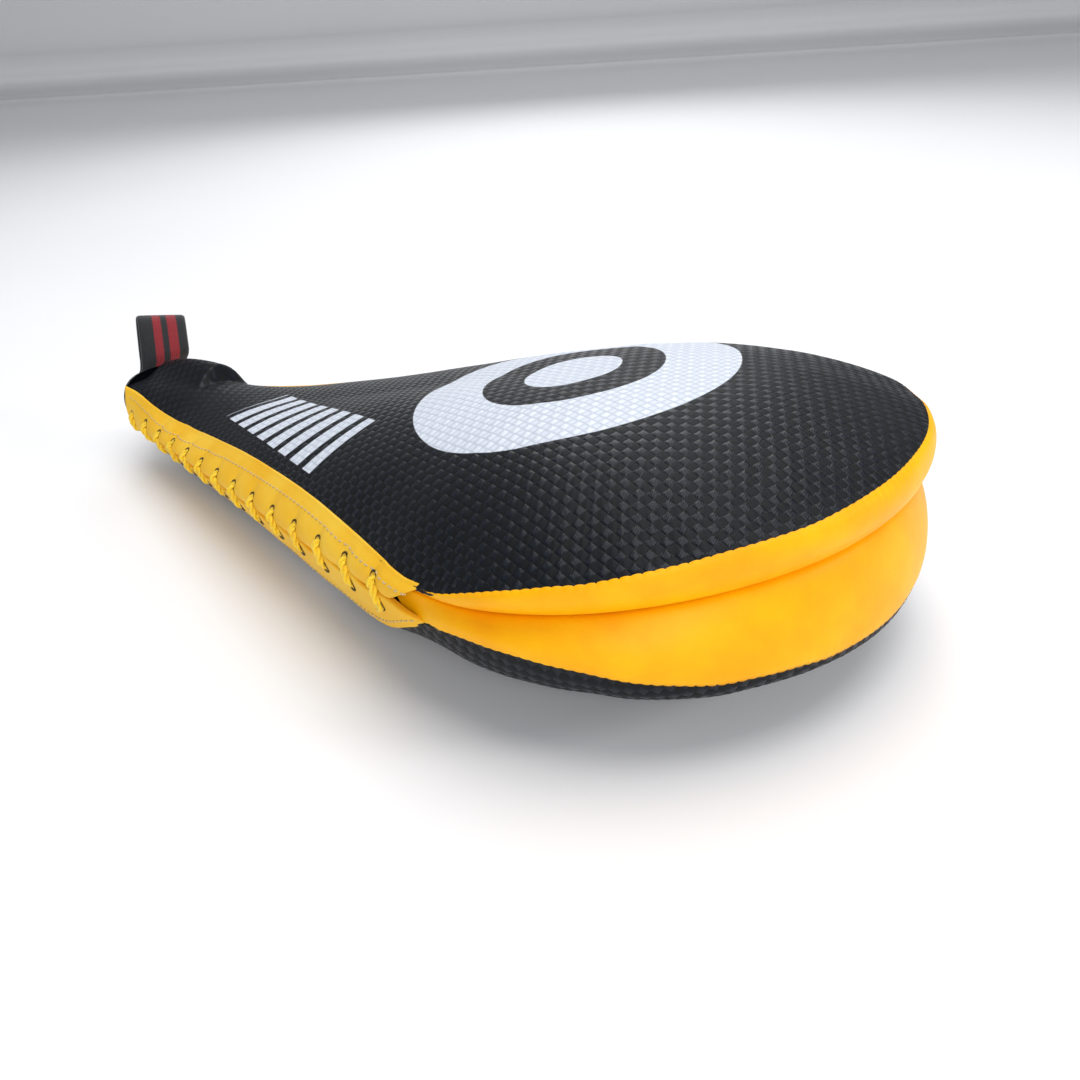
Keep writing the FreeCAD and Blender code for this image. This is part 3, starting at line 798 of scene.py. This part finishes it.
def make_inner_panel(half):
    """The flat yellow face of a blade, seen when the blades spring apart."""
    rings = np.linspace(0, 1, 16)[None, :, None]
    sides = []
    for side in (1, -1):
        s = np.linspace(GUSSET_START + 4, TIP, 150)
        point, normal = plan(s)
        rim = (point - normal * (CREASE_IN + 1.0)) * (1, -side)
        inner_end = HINGE_X - 6 + 40 * ease(HINGE_X - 12, HEAD_X + HEAD_RADIUS, point[:, 0])
        middle = np.stack((inner_end, np.zeros_like(s)), -1)
        place = middle[:, None] + (rim - middle)[:, None] * rings
        rho = rings[..., 0]
        z = CREASE + 0.25 + 1.0 * (1 - rho ** 2) * ease(HINGE_X - 6, HINGE_X + 38, place[..., 0])
        z += 0.25 * wander(place[..., 0], place[..., 1], 35, 41)
        z += SIGN[half] * crease_height(s)[:, None] * ease(0.84, 1, rho)
        sides.append(np.concatenate((place, z[..., None]), -1))
    right, left = sides
    points = np.concatenate((right, left[-2::-1])) * (1, 1, SIGN[half])
    mesh = sheet_mesh(half + "_inner_skin", to_row(points), points[..., :2], flip=half == "upper")
    piece = finished(mesh, half + "_inner_skin", YELLOW)
    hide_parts(half + "_blade_inner_panel")
    return sewn_over_hinge(piece)


# ---------------------------------------------------------------- facings

FACING_START = BUTT_END - 2
FACING_END = GUSSET_START + 20
FIRST_HOLE = along_side(FIRST_HOLE_X)
LAST_HOLE = along_side(LAST_HOLE_X)
HOLE_STEP = (LAST_HOLE - FIRST_HOLE) / (HOLE_COUNT - 1)
HOLE_SET_IN = 0.6          # how much nearer the mid-plane the holes lie than in the CAD model
SCALLOP = 2.2              # how far the facings' seam swings to each side between two laces
SCALLOP_FALL = 0.86        # share of the pitch over which it swings down, before it springs back
LACE_DROP = 3              # how far the seam between the facings lies below the mid-plane
DROP_HOLES = 3             # the holes come down by that over this many from the butt
LACE_SLANT = 2             # how much nearer the head the lower holes lie
# folded borders of a facing, row by row: how far in and how far from the mid-plane
SEAM_FOLD = ((2.6, 0.3), (1.1, -0.25), (0.35, -0.22))
EDGE_FOLD = ((0.35, 0.35), (0.9, 0.35), (2.0, -0.4))


def lacing_seam(s):
    """Height of the line where the two facings meet: it zigzags between the laces."""
    share = (s - FIRST_HOLE) / HOLE_STEP
    part = share - np.floor(share)
    saw = np.where(part < SCALLOP_FALL, 1 - 2 * part / SCALLOP_FALL,
                   -1 + 2 * (part - SCALLOP_FALL) / (1 - SCALLOP_FALL))
    zigzag = SCALLOP * saw * ease(-0.2, 0.4, share) * ease(0, 0.6, HOLE_COUNT - 0.85 - share)
    return zigzag - LACE_DROP * ease(-0.8, 0.8, share) * (1 - ease(LAST_HOLE + 4, FACING_END, s))


def facing_out(s, z, half, side):
    """How far a facing's surface stands out from the outline, at a height from the mid-plane."""
    edge = np.maximum(through(EDGE[half], plan(s)[0][..., 0]), 4)
    share = np.clip(np.abs(z) / edge, 0, 1.1)
    inset = through(INSET, s)
    out = -inset * share ** 1.25 + 0.9 * np.sin(math.pi * np.clip(share, 0, 1))
    part = (s - FIRST_HOLE) / HOLE_STEP
    from_lace = (part - np.round(part)) * HOLE_STEP
    among = ease(-0.6, 0, part) * ease(-0.6, 0, HOLE_COUNT - 1 - part)
    dent = np.exp(-(from_lace / 3.2) ** 2) * among * (0.9 - 0.9 * ease(4, 9, np.abs(z)))
    swell = 0.5 * (1 - np.exp(-(from_lace / 6) ** 2)) * among * (1 - ease(3, 9, np.abs(z)))
    return out - dent + swell + 0.22 * wander(s, z + 40 * side, 15, 51 + (half == "lower"))


def on_facing(s, z, half, side, proud=0.0):
    """A point over a facing's surface, in the paddle's frame."""
    s, z = np.broadcast_arrays(np.asarray(s, float), np.asarray(z, float))
    point, normal = plan(s)
    out = facing_out(s, z, half, side) + proud
    place = (point + normal * out[..., None]) * (1, -side)
    return np.concatenate((place, (z * SIGN[half])[..., None]), -1)


def facing_band(s, half):
    """Lowest and highest height of a facing at each place: a round butt end and a pointed head end."""
    top = through(EDGE[half], plan(s)[0][..., 0]) + 0.5
    seam = lacing_seam(s) * SIGN[half] + 0.12
    # the butt end is rounded
    from_end = np.clip((s - FACING_START) / 7, 0, 1)
    top = seam + (top - seam) * (0.45 + 0.55 * np.sqrt(1 - (1 - from_end) ** 2))
    # the head end narrows to a point at the black edge
    low = seam + (top - seam) * ease(LAST_HOLE + 5, FACING_END, s) ** 1.2 * 0.96
    return low, top


def facing_proud(s):
    """How far a facing stands proud of the handle: its pointed end sinks under the seam."""
    return 0.55 - 1.5 * ease(FACING_END - 14, FACING_END, s)


def make_facing(half, side, name):
    """A yellow facing: sewn to the black panel, with a folded edge at both borders."""
    s = np.linspace(FACING_START, FACING_END, 560)
    t = np.linspace(0, 1, 20)[None, :]
    low, top = facing_band(s, half)
    z = low[:, None] + (top - low)[:, None] * t
    points = on_facing(s[:, None], z, half, side, facing_proud(s)[:, None])
    # folded borders: each turns in and under
    normal = plan(s)[1] * (1, -side)
    below = [moved_in(points[:, 0], normal, turn, lift * SIGN[half]) for turn, lift in SEAM_FOLD]
    above = [moved_in(points[:, -1], normal, turn, lift * SIGN[half]) for turn, lift in EDGE_FOLD]
    points = np.concatenate((np.stack(below, 1), points, np.stack(above, 1)), 1)
    run = length_across(points)
    flat = np.stack(np.broadcast_arrays(s[:, None], run + 60 * side), -1)
    start = moved_in(points[0], np.repeat(normal[:1], points.shape[1], 0), 2.5, 0)[None]
    points = np.concatenate((start, points))
    flat = np.concatenate((flat[:1] - (2, 0), flat))
    mesh = sheet_mesh(name, settled(to_row(points)), flat, flip=(side > 0) == (half == "lower"))
    piece = finished(mesh, name, FACING, "handle")
    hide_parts("%s_%s_facing" % (half, "right" if side > 0 else "left"))
    return piece


def make_topstitch(half, side, name):
    """Pale dashes sewn along a facing, a little way in from its black edge."""
    dashes = []
    for start in np.arange(FACING_START + 12, FACING_END - 8, STITCH * 1.06):
        s = np.linspace(start, start + 2.3, 6)
        _, top = facing_band(s, half)
        sink = np.array((-0.35, 0.12, 0.22, 0.22, 0.12, -0.35))
        line = on_facing(s, top - 2.9, half, side, facing_proud(s) + sink)
        dashes.append(strand(name, line, (0.16, 0.3, 0.34, 0.34, 0.3, 0.16), 6))
    return finished(joined(name, dashes), name, THREAD, "handle")


# ---------------------------------------------------------------- eyelets and lacing

def hole_centre(number, half):
    """Place along the side and height of a hole; the lower holes lie a little nearer the head."""
    s = FIRST_HOLE + HOLE_STEP * number + (LACE_SLANT if half == "lower" else 0)
    drop = LACE_DROP * min(1, (number + 1) / DROP_HOLES)
    return s, HOLE_HEIGHT - HOLE_SET_IN - drop * SIGN[half]


def surface_frame(s, z, half, side, proud=0.0):
    """A point on a facing with its outward and two tangent directions."""
    step = 0.4
    centre = on_facing(s, z, half, side, proud)
    along = on_facing(s + step, z, half, side, proud) - on_facing(s - step, z, half, side, proud)
    up = on_facing(s, z + step, half, side, proud) - on_facing(s, z - step, half, side, proud)
    along /= np.linalg.norm(along)
    up /= np.linalg.norm(up)
    out = np.cross(along, up)
    _, normal = plan(s)
    if np.dot(out[:2], normal * (1, -side)) < 0:
        out = -out
    return centre, along, up, out


def make_eyelets(half, side, name):
    """Small rolled rings in the holes of a facing, dark inside."""
    profile = np.array(((0.0, -1.6), (1.35, -1.6), (1.5, -0.2), (1.62, 0.18), (1.9, 0.34),
                        (2.2, 0.22), (2.35, -0.15)))
    around = np.linspace(0, 2 * math.pi, 25)[:-1]
    rings = []
    for number in range(HOLE_COUNT):
        s, z = hole_centre(number, half)
        centre, along, up, out = surface_frame(s, z, half, side, 0.55)
        circle = along[None] * np.cos(around)[:, None] + up[None] * np.sin(around)[:, None]
        points = centre + profile[:, 0, None, None] * circle[None] + profile[:, 1, None, None] * out
        flat = np.stack(np.broadcast_arrays(profile[:, 1, None], around[None]), -1)
        rings.append(sheet_mesh(name, to_row(points), flat, closed=True))
    piece = finished(joined(name, rings), name, METAL, "handle")
    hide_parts("%s_%s_eyelets" % (half, "right" if side > 0 else "left"))
    return piece


LACE_STEPS = 6             # points of the cord between two of its given ones


def lacing_path(side):
    """The cord's middle line, and how thick it is along it: out of an upper hole, down over the
    seam, into the lower hole, and on behind."""
    points = []
    thick = []
    for number in range(HOLE_COUNT):
        s, z = hole_centre(number, "upper")
        lower_s, lower_z = hole_centre(number, "lower")
        middle = (s + lower_s) / 2
        seam = (z - lower_z) / 2
        jitter = 0.35 * math.sin(number * 2.4)
        points += [
            on_facing(s, z - 0.4, "upper", side, -3.6),
            on_facing(s, z - 0.5, "upper", side, 0.3),
            on_facing(s + 0.1, z - 1.8, "upper", side, 1.7),
            on_facing(middle - 0.3 + jitter, seam + 1.6, "upper", side, 1.8),
            on_facing(middle + 0.3 + jitter, 1.6 - seam, "lower", side, 1.8),
            on_facing(lower_s - 0.1, lower_z - 1.8, "lower", side, 1.5),
            on_facing(lower_s, lower_z - 0.5, "lower", side, 0.2),
            on_facing(lower_s, lower_z - 0.4, "lower", side, -3.6)]
        thick += [1, 1.05, 1.12, 1.08, 0.98, 0.9, 0.84, 0.9]
    path = curve_through(points, LACE_STEPS)
    return path, np.interp(np.arange(len(path)) / LACE_STEPS, range(len(thick)), thick)


def make_lacing(side, name):
    """Three strands twisted into a cord, knotted off in the last lower hole."""
    path, thick = lacing_path(side)
    strands = [strand(name, path, 0.78 * thick, 8, 0.72 * thick, 0.62, turn * 2 * math.pi / 3)
               for turn in range(3)]
    s, z = hole_centre(HOLE_COUNT - 1, "lower")
    centre, along, up, out = surface_frame(s, z, "lower", side, 0.9)
    loops = np.linspace(0, 2.6 * math.pi, 26)
    knot = (centre + along * (1.25 * np.cos(loops))[:, None] + up * (1.25 * np.sin(loops))[:, None]
            + out * np.linspace(0.1, 0.9, 26)[:, None])
    strands.append(strand(name, knot, 0.85, 8))
    piece = finished(joined(name, strands), name, CORD, "handle")
    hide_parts(name.replace("_cord", "_lacing"))
    return piece


# ---------------------------------------------------------------- butt, strap and tail

CAP_RISE = 3.5             # how far the end panel stands above the cover's ridge
CAP_MARGIN = 0.6           # how much wider it is than the butt, each side
CAP_POWER = 2.6            # 2 is an ellipse, more is squarer


def make_butt_cap():
    """The black end panel, puffed out between the two covers."""
    around = np.linspace(0, 2 * math.pi, 121)[:-1]
    rho = np.concatenate((np.linspace(0, 1, 14), (1.03,)))[:, None]
    top, bottom = RIDGE["upper"][0][1] + CAP_RISE, RIDGE["lower"][0][1]
    half_y, half_z = BUTT_HALF_WIDTH + CAP_MARGIN, (top + bottom) / 2
    cos, sin = np.cos(around)[None], np.sin(around)[None]
    reach = np.abs(cos / half_y) ** CAP_POWER + np.abs(sin / half_z) ** CAP_POWER
    reach = reach ** (-1 / CAP_POWER)
    y, z = rho * reach * cos, rho * reach * sin + (top - bottom) / 2
    x = 0.8 - 2.4 * (1 - np.clip(rho, 0, 1) ** 2.6) + 2.5 * (rho > 1)
    x = x + 0.25 * wander(y, z, 9, 61)
    points = np.stack((x, y, z), -1)
    mesh = sheet_mesh("butt_end", settled(to_row(points)), np.stack((z - 40, y), -1), closed=True)
    piece = finished(mesh, "butt_end", BLACK, "handle")
    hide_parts("butt_cap")
    return piece


LOOP_LEAN = math.radians(23)         # the ring leans back, away from the head
LOOP_TWIST = math.radians(5)         # more lean at its left edge, less at its right
LOOP_YAW = math.radians(24)          # it turns to face along the right side
LOOP_SIDEWAYS = 7          # the ring leans over to the left of its sewn end
LOOP_SHEAR = 0.22          # and further to the left the higher it is
LOOP_CURL = 1.32           # how far its right edge curls back
STRAP_HALF_THICK = 0.85


def loop_line():
    """Side view of the strap ring, in mm: along the loop from its base, and to the front of it."""
    ring = [(0, 0.95), (4, 0.95), (9, 2.4), (14, 4.6), (20, 5.5), (27, 5.6), (33, 5.2),
            (36.6, 3.4), (38.1, 0), (36.8, -3.4), (33, -5.2), (27, -5.7), (20, -5.6),
            (14, -4.6), (9, -2.4), (4, -0.95), (0, -0.95)]
    return curve_through(ring, 6)


def make_wrist_loop():
    """The striped elastic, folded into a ring that stands on the butt and twists a little."""
    line = loop_line()
    step = np.gradient(line, axis=0)
    step /= np.linalg.norm(step, axis=1, keepdims=True)
    normal = np.stack((-step[:, 1], step[:, 0]), -1)
    run = length_along(line)
    share = np.linspace(0, 1, 30)
    # once round the strap's own section: front face, far edge, back face, near edge
    across = np.concatenate((share, share[::-1]))
    rounding = np.sqrt(np.clip(1 - np.abs(2 * across - 1) ** 14, 0, 1))
    lift = STRAP_HALF_THICK * np.repeat((1, -1), 30) * rounding
    pivot = to_paddle(LOOP_PIVOT)
    a = line[:, None, 0] + normal[:, None, 0] * lift[None]
    b = line[:, None, 1] + normal[:, None, 1] * lift[None]
    wide = (across - 0.5)[None] * 2
    shorter = 1 - 0.05 * (wide + 1) * ease(5, 38, a)
    curl = LOOP_CURL * ease(0, 1, -wide) ** 2 * np.sin(math.pi * np.clip(a / 30, 0, 1))
    a = a * shorter
    b = b - curl
    lean = LOOP_LEAN + LOOP_TWIST * wide * ease(0, 22, a)
    x = -a * np.sin(lean) + b * np.cos(lean)
    z = a * np.cos(lean) + b * np.sin(lean)
    y = wide * STRAP_WIDTH / 2 + LOOP_SIDEWAYS * ease(0, 12, a) + LOOP_SHEAR * a
    # above its sewn end the ring turns to face along the paddle's right side
    yaw = LOOP_YAW * ease(0, 16, a)
    x, y = x * np.cos(yaw) + y * np.sin(yaw), y * np.cos(yaw) - x * np.sin(yaw)
    points = pivot + np.stack((x, y, z), -1)
    flat = np.stack(np.broadcast_arrays(run[:, None], across[None] * STRAP_WIDTH), -1)
    mesh = outwards(sheet_mesh("strap_loop", to_row(points), flat, closed=True))
    piece = finished(mesh, "strap_loop", ELASTIC, "wrist_loop")
    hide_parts("wrist_loop")
    return piece


def make_anchor():
    """The strap's ends, folded and sewn into the butt."""
    low, high = (to_paddle(corner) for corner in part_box("wrist_loop_anchor"))
    middle = (low + high) / 2
    around = np.linspace(0, 2 * math.pi, 33)[:-1]
    circle = np.stack((np.cos(around), np.sin(around)), -1)
    section = np.sign(circle) * np.abs(circle) ** 0.4
    share = np.linspace(-1, 1, 25)
    swell = np.sqrt(1 - np.abs(share) ** 12)
    x = middle[0] - 0.1 + section[None, :, 0] * 1.9 * swell[:, None]
    z = middle[2] + section[None, :, 1] * 1.8 * swell[:, None]
    x, y, z = np.broadcast_arrays(x, middle[1] + share[:, None] * 12.7, z)
    flat = np.stack((x - middle[0], y - middle[1] + STRAP_WIDTH / 2), -1)
    mesh = outwards(sheet_mesh("strap_anchor", to_row(np.stack((x, y, z), -1)), flat, closed=True))
    piece = finished(mesh, "strap_anchor", ELASTIC, "handle")
    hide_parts("wrist_loop_anchor")
    return piece


# ---------------------------------------------------------------- studio

def make_studio():
    """A pale floor that curves up behind, four soft lights and an even surround."""
    shader = Shader("studio_floor")
    place = shader.node("TexCoord").outputs["Object"]
    tone = shader.mix(shader.noise(place, 3.0), rgb(246, 246, 247), rgb(250, 250, 251))
    shader.set(Base_Color=tone, Roughness=0.9, Specular_IOR_Level=0.1)
    sweep = [(-4, 0), (2.2, 0), (2.8, 0.12), (3.1, 0.6), (3.2, 4)]
    # the sweep runs away from the camera, which looks along its own heading on the floor
    turn = Matrix.Rotation(math.radians(123), 3, "Z")
    wide = np.linspace(-5, 5, 3)
    points = np.stack([[turn @ Vector((x, y, z)) for y in wide] for x, z in curve_through(sweep, 10)])
    mesh = sheet_mesh("studio_floor", points)
    floor = finished(mesh, "studio_floor", shader.material)

    def softbox(name, place, size, power, aim=(0, 0, 0.03)):
        light = bpy.data.lights.new(name, "AREA")
        light.shape = "DISK"
        light.size = size
        light.energy = power
        lamp = bpy.data.objects.new(name, light)
        bpy.context.scene.collection.objects.link(lamp)
        lamp.location = place
        lamp.rotation_euler = (Vector(aim) - Vector(place)).to_track_quat("-Z", "Y").to_euler()

    softbox("overhead", (0.1, 0.2, 1.6), 1.6, 19)
    softbox("front", (1.1, -1.3, 0.8), 1.1, 15)
    softbox("glint", (1.5, 0.5, 0.75), 0.35, 5)
    softbox("behind", (-0.9, 1.3, 1.0), 1.2, 8)
    world = bpy.data.worlds.new("studio_world")
    bpy.context.scene.world = world
    world.use_nodes = True
    surround = world.node_tree.nodes["Background"]
    surround.inputs["Color"].default_value = rgb(244, 248, 255)
    surround.inputs["Strength"].default_value = 0.3
    bpy.context.scene.view_settings.view_transform = "Standard"


CAMERA = (474.6, -286.8, 146.3)      # mm, in the paddle's frame
TARGET = (293.0, -55.1, 0)
ROLL = math.radians(-7.67)
LENS = 32.35


def make_camera():
    """Three-quarter view from beside the head, a little above."""
    camera = bpy.data.cameras.new("camera")
    camera.lens = LENS
    camera.sensor_width = 36
    camera.clip_start = 0.01
    rig = bpy.data.objects.new("camera", camera)
    bpy.context.scene.collection.objects.link(rig)
    place = np.array(CAMERA, float)
    forward = np.array(TARGET, float) - place
    forward /= np.linalg.norm(forward)
    right = np.cross(forward, (0, 0, 1))
    right /= np.linalg.norm(right)
    up = np.cross(right, forward)
    cos, sin = math.cos(ROLL), math.sin(ROLL)
    right, up = cos * right + sin * up, cos * up - sin * right
    origin = to_row((0, 0, 0))
    axes = [Vector((to_row(axis) - origin) / MM) for axis in (right, up, -forward)]
    turn = Matrix(axes).transposed().to_4x4()
    rig.matrix_world = Matrix.Translation(to_row(place)) @ turn
    bpy.context.scene.camera = rig


# ---------------------------------------------------------------- build

make_studio()
make_camera()
for half in SIGN:
    make_cover(half)
    make_gusset(half)
    make_inner_panel(half)
    for side, side_name in ((1, "right"), (-1, "left")):
        make_facing(half, side, "%s_%s_strip" % (half, side_name))
        make_topstitch(half, side, "%s_%s_topstitch" % (half, side_name))
        make_eyelets(half, side, "%s_%s_rings" % (half, side_name))
make_lacing(1, "right_cord")
make_lacing(-1, "left_cord")
make_butt_cap()
make_wrist_loop()
make_anchor()
for node in ("handle_core", "upper_blade_flex_plate", "lower_blade_flex_plate"):
    frame["nodes"][node].data.materials.clear()
    frame["nodes"][node].data.materials.append(BOARD)
